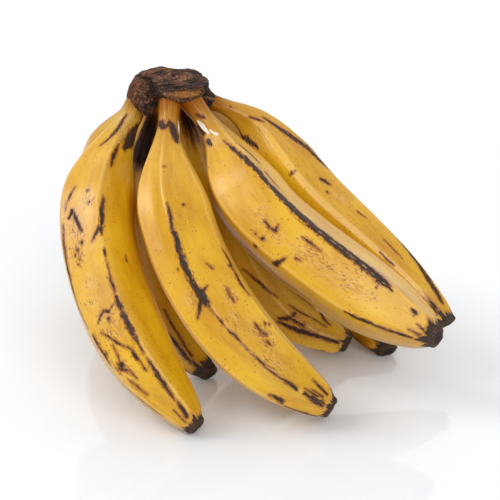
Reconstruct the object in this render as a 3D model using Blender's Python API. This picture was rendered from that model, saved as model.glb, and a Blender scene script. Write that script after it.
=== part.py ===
"""A hand of eight ripe plantains, joined by nature at one crown and resting on four of the fruits' tips.

Metres, +Z up. The origin is on the surface that the hand rests on, under the middle of its box.
The front row of fruits faces -Y. Sizes below are in millimetres and MM turns them into metres.
"""

import math

import bmesh
import bpy
import numpy as np

MM = 0.001
GAP = 0.3  # clearance between a neck and its socket in the crown

# Every fruit: a centreline from crown to tip, a thickness profile along it and a ridged section across it.
AROUND = 20  # points round a fruit, four to each of its five faces
ALONG = 27  # rings along a fruit
SIDES = 5  # a plantain has five flat faces with a ridge between each two
NECK_END = 0.03  # share of the length where the neck starts to swell
SHOULDER = 0.34  # share of the length where the full thickness is reached
CAP_LENGTH = 4.0  # the rounded corky end past the centreline's last point
CAP_RINGS = ((0.35, 0.94), (0.75, 0.72), (1.0, 0.38))  # share of the cap's length, share of its radius
ROUND_SECTION = 3.0  # powers of the section: low is round, high is a sharp pentagon
RIDGED_SECTION = 9.0
RIDGED_FROM = 0.08  # share of the length where the ridges start to rise out of the round neck
RIDGED_RISE = 0.20  # share of the length over which they rise
RIDGED_FADE = 0.08  # share of the length over which they fade into the round tip

# The crown: the corky pad that the necks grow from, cut off flat with a worn, dished top.
CROWN_CENTRE = (-61.0, 61.0)
CROWN_HALF_WIDTH = 28.5
CROWN_HALF_DEPTH = 25.0
CROWN_AROUND = 32
# height of each ring over the floor, and its size as a share of the pad's half width and half depth
CROWN_RINGS = (
    (163.0, 0.50),
    (164.5, 0.80),
    (168.0, 0.94),
    (172.5, 1.00),
    (178.0, 0.95),
    (182.5, 0.82),
    (184.5, 0.66),
    (183.0, 0.42),
    (181.5, 0.18),
)
CROWN_FALL = 4.0  # the top falls by this much towards the right end
CROWN_LUMPS = ((2, 0.05, 20.0), (3, 0.045, 75.0), (5, 0.02, 10.0))  # waves round the rim, share, phase in degrees

# Each route runs from inside the crown to the tip: x, y, z in mm. radius is the thickest one, to a flat face, and
# neck and tip are the radii of the two ends as shares of it. taper is the share of the length where the taper to
# the tip starts, and its power.
# turn rotates the five faces about the centreline, in degrees from the outside of the bend.
FRUITS = {
    "plantain_front_left": {
        "route": (
            (-82, 52, 169), (-100.5, 32, 137.5), (-109.5, -9, 107),
            (-97, -53, 67.5), (-69.5, -93, 34.5), (-40, -110, 5.4),
        ),
        "radius": 23.3,
        "neck": 0.35,
        "taper": (0.58, 2.3),
        "tip": 0.32,
        "turn": 5,
    },
    "plantain_front_middle": {
        "route": (
            (-61, 44, 169), (-62, 22, 148), (-58, -12, 117),
            (-37, -55, 77.5), (4, -90, 39.5), (47, -94.5, 10),
        ),
        "radius": 23.3,
        "neck": 0.28,
        "taper": (0.55, 2.5),
        "tip": 0.34,
        "turn": 34,
    },
    "plantain_front_right": {
        "route": (
            (-46, 47, 169), (-26, 31, 143.5), (-7, -3, 119),
            (33, -39, 92.5), (75.5, -64, 71), (114, -86, 57.5),
        ),
        "radius": 23.4,
        "neck": 0.28,
        "taper": (0.7, 2.1),
        "tip": 0.35,
        "turn": 3,
    },
    "plantain_back_right": {
        "route": (
            (-35, 61, 165), (-6, 62, 148.5), (12.5, 49, 125),
            (45.5, 23, 94), (89, -3, 66), (127, -29, 38),
        ),
        "radius": 22.6,
        "neck": 0.25,
        "taper": (0.4, 1.9),
        "tip": 0.34,
        "turn": 0,
    },
    "plantain_inner_left": {
        "route": (
            (-69, 61, 169), (-77, 59, 124), (-75.3, 34.7, 87),
            (-66, -3.5, 43), (-50, -27.5, 20), (-33.5, -40, 5),
        ),
        "radius": 20.5,
        "neck": 0.28,
        "taper": (0.42, 1.95),
        "tip": 0.34,
        "turn": 0,
    },
    "plantain_inner_middle": {
        "route": (
            (-55, 65, 169), (-39.9, 66.1, 122), (-24.9, 48.1, 90),
            (-4, 27, 58), (27, -1, 26), (62.5, -4, 9.5),
        ),
        "radius": 21.5,
        "neck": 0.28,
        "taper": (0.43, 2.0),
        "tip": 0.37,
        "turn": 0,
    },
    "plantain_inner_right": {
        "route": (
            (-43, 69, 169), (-21, 95, 122), (3, 92, 88),
            (33, 75, 52), (65, 30, 20.5), (90, -6.5, 5),
        ),
        "radius": 20.5,
        "neck": 0.28,
        "taper": (0.43, 2.0),
        "tip": 0.37,
        "turn": 0,
    },
    "plantain_back_left": {
        "route": (
            (-82, 70, 169), (-100, 89, 119), (-110.5, 94, 90),
            (-102.5, 84, 54.5), (-94, 65, 23), (-87, 41, 5),
        ),
        "radius": 20.5,
        "neck": 0.28,
        "taper": (0.42, 1.95),
        "tip": 0.34,
        "turn": 0,
    },
}

PEEL_COLOUR = (0.80, 0.47, 0.07)
PEEL_ROUGHNESS = 0.45
CROWN_COLOUR = (0.085, 0.040, 0.020)
CROWN_ROUGHNESS = 0.90


def clear_scene():
    for existing in list(bpy.data.objects):
        bpy.data.objects.remove(existing, do_unlink=True)


def smooth_step(share):
    share = np.clip(share, 0.0, 1.0)
    return share * share * (3.0 - 2.0 * share)


def natural_spline(points, shares):
    """A natural cubic spline through the points, read at even shares of its own length."""
    points = np.asarray(points, dtype=float)
    knots = np.concatenate([[0.0], np.cumsum(np.linalg.norm(np.diff(points, axis=0), axis=1))])
    step = np.diff(knots)
    count = len(points)
    matrix = np.eye(count)
    right = np.zeros((count, 3))
    for i in range(1, count - 1):
        matrix[i, i - 1 : i + 2] = step[i - 1], 2.0 * (step[i - 1] + step[i]), step[i]
        right[i] = 6.0 * ((points[i + 1] - points[i]) / step[i] - (points[i] - points[i - 1]) / step[i - 1])
    bend = np.linalg.solve(matrix, right)

    def position(knot):
        i = np.clip(np.searchsorted(knots, knot, side="right") - 1, 0, count - 2)
        before = ((knots[i + 1] - knot) / step[i])[:, None]
        after = ((knot - knots[i]) / step[i])[:, None]
        cubic = (before**3 - before) * bend[i] + (after**3 - after) * bend[i + 1]
        return before * points[i] + after * points[i + 1] + cubic * (step[i] ** 2 / 6.0)[:, None]

    fine = np.linspace(0.0, knots[-1], 1500)
    run = np.concatenate([[0.0], np.cumsum(np.linalg.norm(np.diff(position(fine), axis=0), axis=1))])
    return position(np.interp(np.asarray(shares) * run[-1], run, fine))


def profile(share, fruit):
    """Radius along the fruit as a share of its thickest radius: a narrow neck, a swell and a long taper."""
    swell = fruit["neck"] + (1.0 - fruit["neck"]) * smooth_step((share - NECK_END) / (SHOULDER - NECK_END))
    start, power = fruit["taper"]
    taper = np.clip((share - start) / (1.0 - start), 0.0, 1.0) ** power
    return swell * (1.0 - (1.0 - fruit["tip"]) * taper)


def section(angle, power):
    """A rounded regular polygon: the faces' distances along the angle, blended by a power sum."""
    total = np.zeros(np.broadcast(angle, power).shape)
    for side in range(SIDES):
        reach = np.cos(angle - 2.0 * math.pi * side / SIDES)
        total = total + np.maximum(reach, 1e-6) ** power
    return total ** (-1.0 / power)


def fruit_rings(fruit, grow=0.0):
    """Rings of points along one fruit, from the neck's end in the crown to the tip; grow widens every ring."""
    shares = np.linspace(0.0, 1.0, ALONG)
    centre = natural_spline(fruit["route"], shares)
    ahead = np.gradient(centre, axis=0)
    ahead /= np.linalg.norm(ahead, axis=1)[:, None]
    radius = fruit["radius"] * profile(shares, fruit)

    # The cap runs straight on from the tip.
    cap = np.array(CAP_RINGS)
    centre = np.vstack([centre, centre[-1] + ahead[-1] * CAP_LENGTH * cap[:, :1]])
    ahead = np.vstack([ahead, np.repeat(ahead[-1:], len(cap), axis=0)])
    radius = np.concatenate([radius, radius[-1] * cap[:, 1]])
    shares = np.concatenate([shares, np.ones(len(cap))])

    # Across each ring: outward from the bend, and sideways.
    chord = centre[-1] - centre[0]
    middle = centre[ALONG // 2] - centre[0]
    outward = middle - chord * (middle @ chord) / (chord @ chord)
    plane = np.cross(chord, outward)
    plane /= np.linalg.norm(plane)
    out = np.cross(plane, ahead)
    out /= np.linalg.norm(out, axis=1)[:, None]
    side = np.cross(ahead, out)

    ridged = smooth_step((shares - RIDGED_FROM) / RIDGED_RISE) * smooth_step((1.0 - shares) / RIDGED_FADE)
    power = (ROUND_SECTION + (RIDGED_SECTION - ROUND_SECTION) * ridged)[:, None]
    half_face = math.pi / SIDES
    angle = (half_face + np.arange(AROUND) * 2.0 * math.pi / AROUND)[None, :]
    reach = section(angle, power) * radius[:, None] + grow
    turned = angle + math.radians(fruit["turn"])
    points = centre[:, None, :] + reach[..., None] * (
        np.cos(turned)[..., None] * out[:, None, :] + np.sin(turned)[..., None] * side[:, None, :]
    )
    points[..., 2] = np.maximum(points[..., 2], 0.0)  # the peel is pressed flat where it rests
    return points


def crown_rings():
    """Rings of the pad, each an ellipse with a few soft lumps round its rim."""
    angle = np.arange(CROWN_AROUND) * 2.0 * math.pi / CROWN_AROUND
    lumps = 1.0 + sum(share * np.cos(waves * angle + math.radians(phase)) for waves, share, phase in CROWN_LUMPS)
    bottom, top = CROWN_RINGS[0][0], max(height for height, size in CROWN_RINGS)
    rings = []
    for height, size in CROWN_RINGS:
        x = CROWN_CENTRE[0] + CROWN_HALF_WIDTH * size * lumps * np.cos(angle)
        y = CROWN_CENTRE[1] + CROWN_HALF_DEPTH * size * lumps * np.sin(angle)
        lift = (height - bottom) / (top - bottom)
        fall = CROWN_FALL * lift * np.maximum(x - CROWN_CENTRE[0], 0.0) / CROWN_HALF_WIDTH
        rings.append(np.stack([x, y, height - fall], axis=1))
    return np.array(rings)


def skin(name, rings, material):
    """A closed object skinned over rings of points, with a fan over each end."""
    shape = bmesh.new()
    loops = [[shape.verts.new(point * MM) for point in ring] for ring in rings]
    for loop, following in zip(loops, loops[1:]):
        for i in range(len(loop)):
            j = (i + 1) % len(loop)
            shape.faces.new((loop[i], loop[j], following[j], following[i]))
    for loop in (loops[0], loops[-1]):
        middle = shape.verts.new(sum((vertex.co for vertex in loop), loop[0].co * 0.0) / len(loop))
        for i in range(len(loop)):
            shape.faces.new((loop[i], loop[(i + 1) % len(loop)], middle))
    bmesh.ops.recalc_face_normals(shape, faces=shape.faces)
    mesh = bpy.data.meshes.new(name)
    shape.to_mesh(mesh)
    shape.free()
    mesh.shade_smooth()
    mesh.set_sharp_from_angle(angle=math.radians(50))
    thing = bpy.data.objects.new(name, mesh)
    thing.data.materials.append(material)
    bpy.context.scene.collection.objects.link(thing)
    return thing


def make_material(name, colour, roughness):
    material = bpy.data.materials.new(name)
    material.use_nodes = True
    shader = material.node_tree.nodes["Principled BSDF"]
    shader.inputs["Base Color"].default_value = (*colour, 1.0)
    shader.inputs["Roughness"].default_value = roughness
    shader.inputs["Metallic"].default_value = 0.0
    return material


def make_fruits(parent):
    for name, fruit in FRUITS.items():
        peel = make_material(name + "_peel", PEEL_COLOUR, PEEL_ROUGHNESS)
        skin(name, fruit_rings(fruit), peel).parent = parent


def make_crown(parent):
    """The pad, with a socket cut for the top of each neck."""
    cork = make_material("crown_cork", CROWN_COLOUR, CROWN_ROUGHNESS)
    crown = skin("crown", crown_rings(), cork)
    crown.parent = parent
    for name, fruit in FRUITS.items():
        rings = fruit_rings(fruit, grow=GAP)[: ALONG // 3]
        back = rings[0] - rings[1]
        rings[0] += back * (GAP / np.linalg.norm(back, axis=1).mean())  # clearance past the neck's end too
        cutter = skin(name + "_socket", rings, cork)
        cutter.hide_render = True
        cutter.display_type = "WIRE"
        cut = crown.modifiers.new(name + "_socket", "BOOLEAN")
        cut.operation = "DIFFERENCE"
        cut.object = cutter


clear_scene()
hand = bpy.data.objects.new("hand", None)
bpy.context.scene.collection.objects.link(hand)
make_fruits(hand)
make_crown(hand)
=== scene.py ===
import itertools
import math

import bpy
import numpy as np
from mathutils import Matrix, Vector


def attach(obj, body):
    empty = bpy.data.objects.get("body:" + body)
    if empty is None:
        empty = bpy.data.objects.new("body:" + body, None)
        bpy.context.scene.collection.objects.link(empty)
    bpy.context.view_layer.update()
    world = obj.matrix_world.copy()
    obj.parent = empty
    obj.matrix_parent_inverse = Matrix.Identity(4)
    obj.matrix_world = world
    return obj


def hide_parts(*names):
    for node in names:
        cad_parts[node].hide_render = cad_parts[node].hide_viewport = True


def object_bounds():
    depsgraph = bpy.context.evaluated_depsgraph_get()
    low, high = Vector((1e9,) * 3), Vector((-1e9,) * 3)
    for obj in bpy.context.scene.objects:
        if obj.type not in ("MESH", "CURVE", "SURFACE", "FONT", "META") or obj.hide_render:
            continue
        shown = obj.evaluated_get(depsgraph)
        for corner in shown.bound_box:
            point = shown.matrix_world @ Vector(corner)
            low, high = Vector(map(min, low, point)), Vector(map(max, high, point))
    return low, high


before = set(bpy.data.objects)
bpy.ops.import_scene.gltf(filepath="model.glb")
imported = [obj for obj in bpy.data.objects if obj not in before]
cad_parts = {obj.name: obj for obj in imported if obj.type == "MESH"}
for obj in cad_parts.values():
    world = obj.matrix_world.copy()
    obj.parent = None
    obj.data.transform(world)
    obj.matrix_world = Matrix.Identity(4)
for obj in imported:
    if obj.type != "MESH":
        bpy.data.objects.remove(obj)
cad_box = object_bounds()

# The looks of a hand of ripe plantains: eight ridged fruits with black streaks, grown from one dried corky
# crown. Lengths are in millimetres and MM turns them into the frame's metres. Every fruit is a grid over two
# parameters, the share of its length and the angle round it, and every mark on it is placed by millimetres
# along the fruit from its neck's end and degrees round it from the outside of its bend.

MM = 0.001

# ---------------------------------------------------------------- the fruits' shape, as the frame has it

SIDES = 5
NECK_END = 0.03
SHOULDER = 0.34
ROUND_SECTION = 3.0
RIDGED_SECTION = 9.0
RIDGED_FROM = 0.02  # the ridges start higher up the neck than the frame's, as dried necks are angular
RIDGED_RISE = 0.20
RIDGED_FADE = 0.06
SPLINE_SAMPLES = 1500

CREST_HEIGHT = 0.42  # a ridge's raised cord stands this far out of the peel
CREST_WIDTH = 1.5
SHRINK = 0.50  # the peel lies this far inside the frame's solid, so that the cords end flush with it
SWELL_HEIGHT = 0.30  # soft unevenness of the faces
SWELL_SIZE = 26.0

# The corky end past the centreline's last point: share of the way, mm past the point, share of the radius.
CAP = np.array([
    (0.00, 0.0, 1.00),
    (0.16, 0.9, 1.00),
    (0.30, 1.7, 0.96),
    (0.42, 2.1, 0.86),
    (0.52, 2.2, 0.73),
    (0.62, 2.0, 0.59),
    (0.72, 1.5, 0.46),
    (0.86, 0.7, 0.30),
    (1.00, 0.5, 0.03),
])
CAP_ROWS = 22
CAP_ALONG = 4.0  # mm that the way over the corky end counts for in the marks
ROOT = 8.0  # mm that each neck runs on into the crown
ROOT_ROWS = 8
ROOT_WIDENING = 0.012  # for each mm of it
FLARE_LENGTH = 13.0  # mm over which a neck narrows below the crown
CAP_LOBES = 0.05
CAP_LUMPS = 0.38
SLANT = 0.30  # the corky end is cut this much shorter on its near side, as a share of its width
SCAR_ROUGHNESS = 0.32
STRAIGHT_RADIUS = 1.05  # of the round bar that patterns are drawn on, as a share of the fruit's radius

REGULAR_RIDGES = (-108.0, -36.0, 36.0, 108.0, 180.0)

# The route is the centreline from the crown to the tip. Neck and tip are the radius there as shares of the
# thickest one, taper is the share of the length where the fruit starts to narrow and how suddenly, and turn
# is how far it is turned about its centreline. Ridges are the degrees round of its five ridges. Flare widens
# the neck where it meets the crown, as a share, sleeve is how many mm the crown's cork runs down it, and
# green is how green it has stayed. Hidden are the degrees between which its marks are drawn by chance.
FRUITS = {
    "plantain_front_left": {
        "route": ((-82, 52, 169), (-100.5, 32, 137.5), (-109.5, -9, 107),
                  (-97, -53, 67.5), (-69.5, -93, 34.5), (-40, -110, 5.4)),
        "radius": 23.3,
        "neck": 0.35,
        "taper": (0.58, 2.3),
        "tip": 0.32,
        "turn": 5,
        "ridges": (-101, -38, 36, 108, 180),
        "flare": 0.08,
        "sleeve": 3,
        "green": 0.9,
        "hidden": (-25, 165),
    },
    "plantain_front_middle": {
        "route": ((-61, 44, 169), (-62, 22, 148), (-58, -12, 117),
                  (-37, -55, 77.5), (4, -90, 39.5), (47, -94.5, 10)),
        "radius": 23.3,
        "neck": 0.28,
        "taper": (0.55, 2.5),
        "tip": 0.34,
        "turn": 34,
        "ridges": (-95, -47, 36, 112, 200),
        "flare": 0.34,
        "sleeve": 0,
        "green": 0.15,
        "hidden": (-20, 160),
    },
    "plantain_front_right": {
        "route": ((-46, 47, 169), (-26, 31, 143.5), (-7, -3, 119),
                  (33, -39, 92.5), (75.5, -64, 71), (114, -86, 57.5)),
        "radius": 23.4,
        "neck": 0.28,
        "taper": (0.70, 2.1),
        "tip": 0.35,
        "turn": 3,
        "ridges": (-121, -46, 36, 108, 176),
        "flare": 0.26,
        "sleeve": 0,
        "green": 0.1,
        "hidden": (45, 160),
    },
    "plantain_back_right": {
        "route": ((-35, 61, 165), (-6, 62, 148.5), (12.5, 49, 125),
                  (45.5, 23, 94), (89, -3, 66), (127, -29, 38)),
        "radius": 22.6,
        "neck": 0.25,
        "taper": (0.40, 1.9),
        "tip": 0.34,
        "turn": 0,
        "ridges": (-108, -36, 36, 118, 190),
        "flare": 0.12,
        "sleeve": 3,
        "green": 0.2,
        "hidden": (-80, 95),
    },
    "plantain_inner_left": {
        "route": ((-69, 61, 169), (-77, 59, 124), (-75.3, 34.7, 87),
                  (-66, -3.5, 43), (-50, -27.5, 20), (-33.5, -40, 5)),
        "radius": 20.5,
        "neck": 0.28,
        "taper": (0.42, 1.95),
        "tip": 0.34,
        "turn": 0,
        "ridges": REGULAR_RIDGES,
        "flare": 0.35,
        "sleeve": 2,
        "green": 0.0,
        "hidden": (-100, 180),
    },
    "plantain_inner_middle": {
        "route": ((-55, 65, 169), (-39.9, 66.1, 122), (-24.9, 48.1, 90),
                  (-4, 27, 58), (27, -1, 26), (62.5, -4, 9.5)),
        "radius": 21.5,
        "neck": 0.28,
        "taper": (0.43, 2.0),
        "tip": 0.37,
        "turn": 0,
        "ridges": (-120, -60, 36, 108, 180),
        "flare": 0,
        "sleeve": 4,
        "green": 0.0,
        "hidden": (-20, 180),
    },
    "plantain_inner_right": {
        "route": ((-43, 69, 169), (-21, 95, 122), (3, 92, 88),
                  (33, 75, 52), (65, 30, 20.5), (90, -6.5, 5)),
        "radius": 20.5,
        "neck": 0.28,
        "taper": (0.43, 2.0),
        "tip": 0.37,
        "turn": 0,
        "ridges": REGULAR_RIDGES,
        "flare": 0,
        "sleeve": 8,
        "green": 0.4,
        "hidden": (-180, 180),
    },
    "plantain_back_left": {
        "route": ((-82, 70, 169), (-100, 89, 119), (-110.5, 94, 90),
                  (-102.5, 84, 54.5), (-94, 65, 23), (-87, 41, 5)),
        "radius": 20.5,
        "neck": 0.28,
        "taper": (0.42, 1.95),
        "tip": 0.34,
        "turn": 0,
        "ridges": REGULAR_RIDGES,
        "flare": 0,
        "sleeve": 8,
        "green": 0.6,
        "hidden": (-180, 180),
    },
}

# ---------------------------------------------------------------- the marks on the peel

# Black streaks, scars and spots. Each is a line of points (mm along, degrees round, half of its width in mm);
# a line of one point is a round spot.
STREAKS = {
    "plantain_front_left": (
        ((91, -108, 0.3), (95, -108, 0.9), (101, -106, 1.2), (108, -106, 1.3), (114, -104, 1.4),
         (118, -103, 0.4)),
        ((113, -102, 1.1), (116, -97, 1.0), (121, -88, 0.6)),
        ((128, -103, 0.4), (131, -102, 0.8), (134, -102, 0.4)),
        ((136, -102, 0.2), (144, -101, 0.3), (152, -100, 0.7), (159, -100, 0.8), (164, -98, 0.2)),
        ((166, -98, 1.1), (174, -98, 1.6), (182, -97, 1.6), (190, -97, 1.7), (196, -97, 1.4),
         (200, -97, 0.5)),
        ((200, -97, 0.3), (206, -96, 0.5)),
        ((209, -96, 0.3), (215, -96, 1.1), (220, -94, 1.2), (227, -92, 1.2), (234, -90, 0.8),
         (237, -88, 0.2)),
        ((181, -52, 0.2), (185, -58, 0.5), (191, -66, 0.6), (196, -74, 0.6), (200, -83, 0.5)),
        ((200, -83, 0.6), (203, -82, 1.1), (206, -82, 0.9), (208, -83, 0.3), (213, -82, 0.6),
         (214, -82, 0.2)),
        ((203, -52, 1.9),),
        ((204, -43, 0.7), (207, -52, 0.8)),
        ((191, -59, 0.2), (200, -54, 0.4)),
        ((208, -56, 0.3), (214, -58, 0.2)),
        ((179, -40, 0.4), (188, -38, 1.0), (193, -40, 1.0), (199, -36, 0.4)),
        ((105, -42, 0.4), (117, -40, 0.7), (139, -38, 0.7), (156, -35, 0.6), (174, -36, 0.3)),
        ((209, -14, 0.4), (227, -31, 0.8), (238, -30, 0.8)),
        ((213, -46, 0.2), (217, -48, 0.5), (224, -51, 0.3)),
        ((102, -52, 0.8), (98, -57, 1.1), (103, -63, 1.1), (110, -70, 1.1), (112, -72, 0.9)),
        ((119, -70, 1.3),),
        ((83, -58, 0.3), (88, -52, 0.5), (92, -48, 0.5), (97, -46, 0.2)),
        ((123, -60, 0.7),),
        ((126, -54, 0.5),),
        ((129, -60, 0.5),),
        ((132, -56, 0.5),),
        ((175, -54, 0.2), (172, -61, 0.6), (170, -70, 1.0), (172, -79, 0.9)),
        ((176, -74, 0.9),),
        ((172, -79, 0.3), (169, -95, 0.3)),
        ((132, -142, 0.2), (137, -140, 0.6)),
        ((87, -83, 0.7),),
        ((95, -88, 0.6),),
        ((38, -114, 0.4), (45, -112, 1.1), (53, -112, 1.2), (60, -112, 0.8), (64, -112, 0.2)),
        ((14, -88, 0.4), (20, -86, 1.2), (27, -86, 1.3), (34, -80, 1.1), (44, -66, 0.4)),
        # This wide dark patch on the neck's side towards the gap is partly its own and partly painted shade.
        ((19, -170, 3.5), (26, -160, 4.6), (32, -148, 4.2), (38, -136, 2.0)),
        ((238, -92, 0.4), (244, -88, 1.3), (249, -83, 1.5)),
        ((241, -66, 0.3), (252, -63, 0.5)),
    ),
    "plantain_front_middle": (
        ((85, -99, 0.4), (93, -99, 1.0), (104, -96, 1.2), (111, -96, 1.5), (122, -93, 2.2),
         (143, -90, 2.2)),
        ((143, -90, 2.2), (150, -92, 2.7), (157, -92, 1.9), (162, -92, 0.5)),
        ((150, -98, 1.0), (148, -106, 0.6)),
        ((153, -88, 1.4), (157, -76, 1.0), (160, -64, 0.3)),
        ((161, -92, 0.2), (170, -94, 0.5), (172, -94, 0.7), (175, -94, 0.3), (183, -96, 0.9),
         (186, -96, 0.4)),
        ((186, -96, 0.4), (199, -96, 0.6), (211, -95, 0.6), (216, -95, 0.5), (222, -96, 1.2),
         (227, -94, 0.8)),
        ((233, -96, 1.1), (240, -94, 1.8), (247, -93, 2.2)),
        ((125, -160, 0.2), (131, -162, 0.8), (138, -162, 1.2), (140, -159, 1.4), (145, -160, 0.7),
         (156, -157, 0.6)),
        ((156, -157, 0.6), (166, -159, 0.2)),
        ((133, -125, 0.6), (138, -130, 0.7)),
        ((155, -133, 0.3), (159, -132, 0.5), (165, -131, 0.3)),
        ((56, -102, 0.6),),
        ((87, -124, 1.0),),
        ((128, -79, 0.6),),
        ((184, -137, 0.4), (190, -137, 0.9), (194, -140, 0.4)),
        ((188, -151, 0.6),),
        ((190, -156, 0.5),),
        ((197, -132, 0.4), (199, -132, 0.6)),
        ((217, -54, 0.7), (225, -54, 1.4)),
        ((17, -54, 1.8), (18, -70, 3.0), (21, -90, 2.4), (20, -108, 1.0), (17, -118, 1.2)),
        ((17, -118, 1.2), (20, -134, 3.0), (25, -146, 3.2), (32, -148, 1.8)),
        ((228, -46, 0.4), (241, -46, 0.7), (253, -40, 1.2)),
        ((231, -105, 0.2), (242, -106, 0.8)),
        ((236, -114, 0.2), (245, -114, 0.8)),
        ((234, -138, 0.4), (247, -134, 1.2)),
    ),
    "plantain_front_right": (
        ((39, -104, 0.3), (48, -109, 0.9), (55, -112, 1.2), (71, -118, 1.9), (83, -124, 2.6),
         (104, -129, 3.3)),
        ((104, -129, 3.3), (116, -128, 3.7), (128, -125, 3.6), (142, -123, 3.2), (155, -122, 3.1),
         (185, -119, 2.9)),
        ((185, -119, 2.7), (198, -117, 2.2), (206, -114, 0.5)),
        ((47, -124, 0.4), (53, -136, 0.8), (65, -143, 1.0), (70, -145, 0.6)),
        ((80, -143, 0.6), (97, -148, 0.3)),
        ((112, -79, 0.3), (114, -80, 0.6), (117, -77, 1.0), (121, -80, 0.8), (120, -91, 0.4)),
        ((118, -58, 1.3),),
        ((117, -42, 1.4),),
        ((113, -56, 0.6),),
        ((196, -104, 0.7),),
        ((223, -108, 0.6), (226, -107, 1.4)),
        ((17, -26, 1.8), (20, -38, 2.6), (24, -48, 1.8)),
        ((32, -56, 1.9), (37, -63, 0.9)),
        ((10, -66, 0.9), (13, -84, 1.5), (15, -96, 0.6)),
        ((137, -100, 0.2), (140, -100, 0.6), (144, -100, 0.9), (147, -100, 0.4), (152, -100, 0.2)),
        ((133, -39, 2.0), (134, -44, 1.5), (137, -59, 0.2)),
        ((142, -67, 0.7), (145, -68, 0.4)),
        ((187, -44, 0.5), (197, -46, 1.0), (208, -46, 0.8), (215, -46, 0.7), (221, -48, 0.7),
         (231, -48, 0.7)),
        ((191, -43, 1.0), (197, -44, 1.0)),
        ((227, -64, 0.2), (235, -60, 0.8)),
        ((230, -86, 0.2), (236, -81, 0.7)),
    ),
    "plantain_back_right": (
        ((37, 150, 0.4), (43, 148, 1.2), (52, 142, 1.6), (61, 134, 1.9), (72, 128, 1.7), (83, 124, 1.4),
         (98, 119, 0.2)),
        ((113, 116, 0.2), (118, 114, 1.1), (127, 114, 0.7), (153, 114, 0.4), (178, 120, 0.6),
         (194, 126, 1.5)),
        ((194, 126, 1.5), (201, 130, 2.0), (211, 135, 1.8), (219, 144, 1.3)),
        ((30, -175, 0.4), (33, -179, 0.9), (36, 174, 1.0), (40, 166, 0.4)),
        ((29, -88, 0.8), (35, -96, 1.6), (41, -117, 1.9), (51, -134, 1.4), (55, -140, 0.4)),
        ((86, -169, 1.2),),
        ((86, -176, 0.6),),
        ((101, 151, 0.7), (104, 148, 1.5), (108, 145, 1.0)),
        ((112, 162, 0.7),),
        ((15, 178, 0.6),),
        ((136, 145, 0.2), (140, 144, 0.5), (144, 142, 0.2)),
        ((163, 152, 0.2), (173, 153, 0.5), (180, 154, 0.2)),
        ((167, -174, 0.2), (173, -172, 0.4), (180, -172, 0.2)),
        ((212, -176, 0.6), (216, -172, 1.5), (223, -166, 1.7)),
    ),
    "plantain_inner_left": (
        ((174, -106, 0.3), (186, -106, 1.5), (198, -102, 1.8), (208, -109, 1.8)),
        ((163, -125, 0.3), (183, -127, 0.6), (197, -118, 0.6)),
    ),
    "plantain_inner_middle": (
        ((139, -96, 0.3), (154, -112, 0.7), (162, -118, 0.6), (169, -125, 0.2)),
        ((177, -135, 0.2), (181, -138, 0.5), (193, -150, 0.4), (205, -149, 0.2)),
        ((178, -91, 1.0), (181, -104, 1.3), (182, -111, 1.5), (183, -120, 1.2), (183, -132, 0.5)),
        ((182, -114, 1.2), (187, -116, 1.4), (191, -117, 1.1)),
        ((192, -103, 1.2),),
        ((179, -85, 0.8), (186, -92, 1.7), (191, -98, 2.0), (197, -104, 1.6), (202, -109, 1.4),
         (216, -109, 1.2)),
        ((194, -48, 0.3), (210, -58, 0.6)),
    ),
    "plantain_inner_right": (
        ((232, -108, 0.4), (244, -108, 1.5), (255, -102, 1.8)),
        ((246, -176, 0.4), (255, -168, 1.4), (262, -169, 1.8)),
    ),
    "plantain_back_left": (),
}

# Rubbed places where the wax is pale and brown specks crowd: mm along, degrees round, radius in mm.
SCUFFS = {
    "plantain_front_left": ((110, -63, 8), (147, -64, 6), (160, -59, 5), (93, -84, 7), (182, -70, 9),
                            (21, -123, 6), (31, -117, 6), (125, -58, 7), (206, -48, 7)),
    "plantain_front_middle": ((193, -136, 11), (160, -131, 7), (176, -112, 6), (207, -108, 8), (149, -72, 6)),
    "plantain_front_right": ((178, -86, 13), (160, -86, 11), (145, -86, 10), (196, -84, 6), (107, -85, 8),
                             (123, -75, 6), (193, -134, 9)),
    "plantain_back_right": ((43, -166, 5), (207, -169, 8), (121, 152, 6)),
    "plantain_inner_left": ((187, -91, 8),),
    "plantain_inner_middle": ((195, -110, 9),),
    "plantain_inner_right": (),
    "plantain_back_left": (),
}

# Where the peel of one neck is torn open to the white flesh under it.
TEARS = {
    "plantain_front_right": (
        ((14, -52, 0.9), (19, -60, 2.0), (26, -70, 1.0)),
        ((25, -82, 0.8), (31, -98, 1.3)),
    ),
}

# Dry cracks down the middle of the widest streak.
CRACKS = {
    "plantain_front_right": (
        ((118, -128, 0.2), (142, -121, 0.5), (155, -121, 0.6), (185, -118, 0.6), (202, -115, 0.3)),
    ),
}

# Dark skin deep between the fruits, partly bruised necks and partly painted shade where the gaps between
# the fruits lie in shadow: where it starts and ends, in mm along, its middle in degrees round, and how many
# degrees to each side it is black; a band of no width is only browned.
BRUISES_AND_SHADE = {
    "plantain_front_left": ((10, 30, 168, 20),),
    "plantain_front_middle": ((60, 170, -8, -4),),
    "plantain_front_right": ((45, 170, 0, 0),),
    "plantain_inner_left": ((10, 60, -112, 46),),
    "plantain_inner_middle": ((8, 34, -112, 46), (70, 180, 172, 14)),
    "plantain_inner_right": ((10, 50, -112, 40),),
    "plantain_back_right": ((24, 50, 60, 24),),
}

TIP_BLACK = {  # mm of black above each corky end
    "plantain_front_left": 2.0,
    "plantain_front_middle": 2.5,
    "plantain_front_right": 3.5,
    "plantain_back_right": 3.0,
    "plantain_inner_left": 8.0,
    "plantain_inner_middle": 3.0,
    "plantain_inner_right": 4.0,
    "plantain_back_left": 4.0,
}
SPIKE_LENGTH = 5.0  # the black runs this much further up each ridge, within this many degrees of it
SPIKE_WIDTH = 9.0

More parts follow.
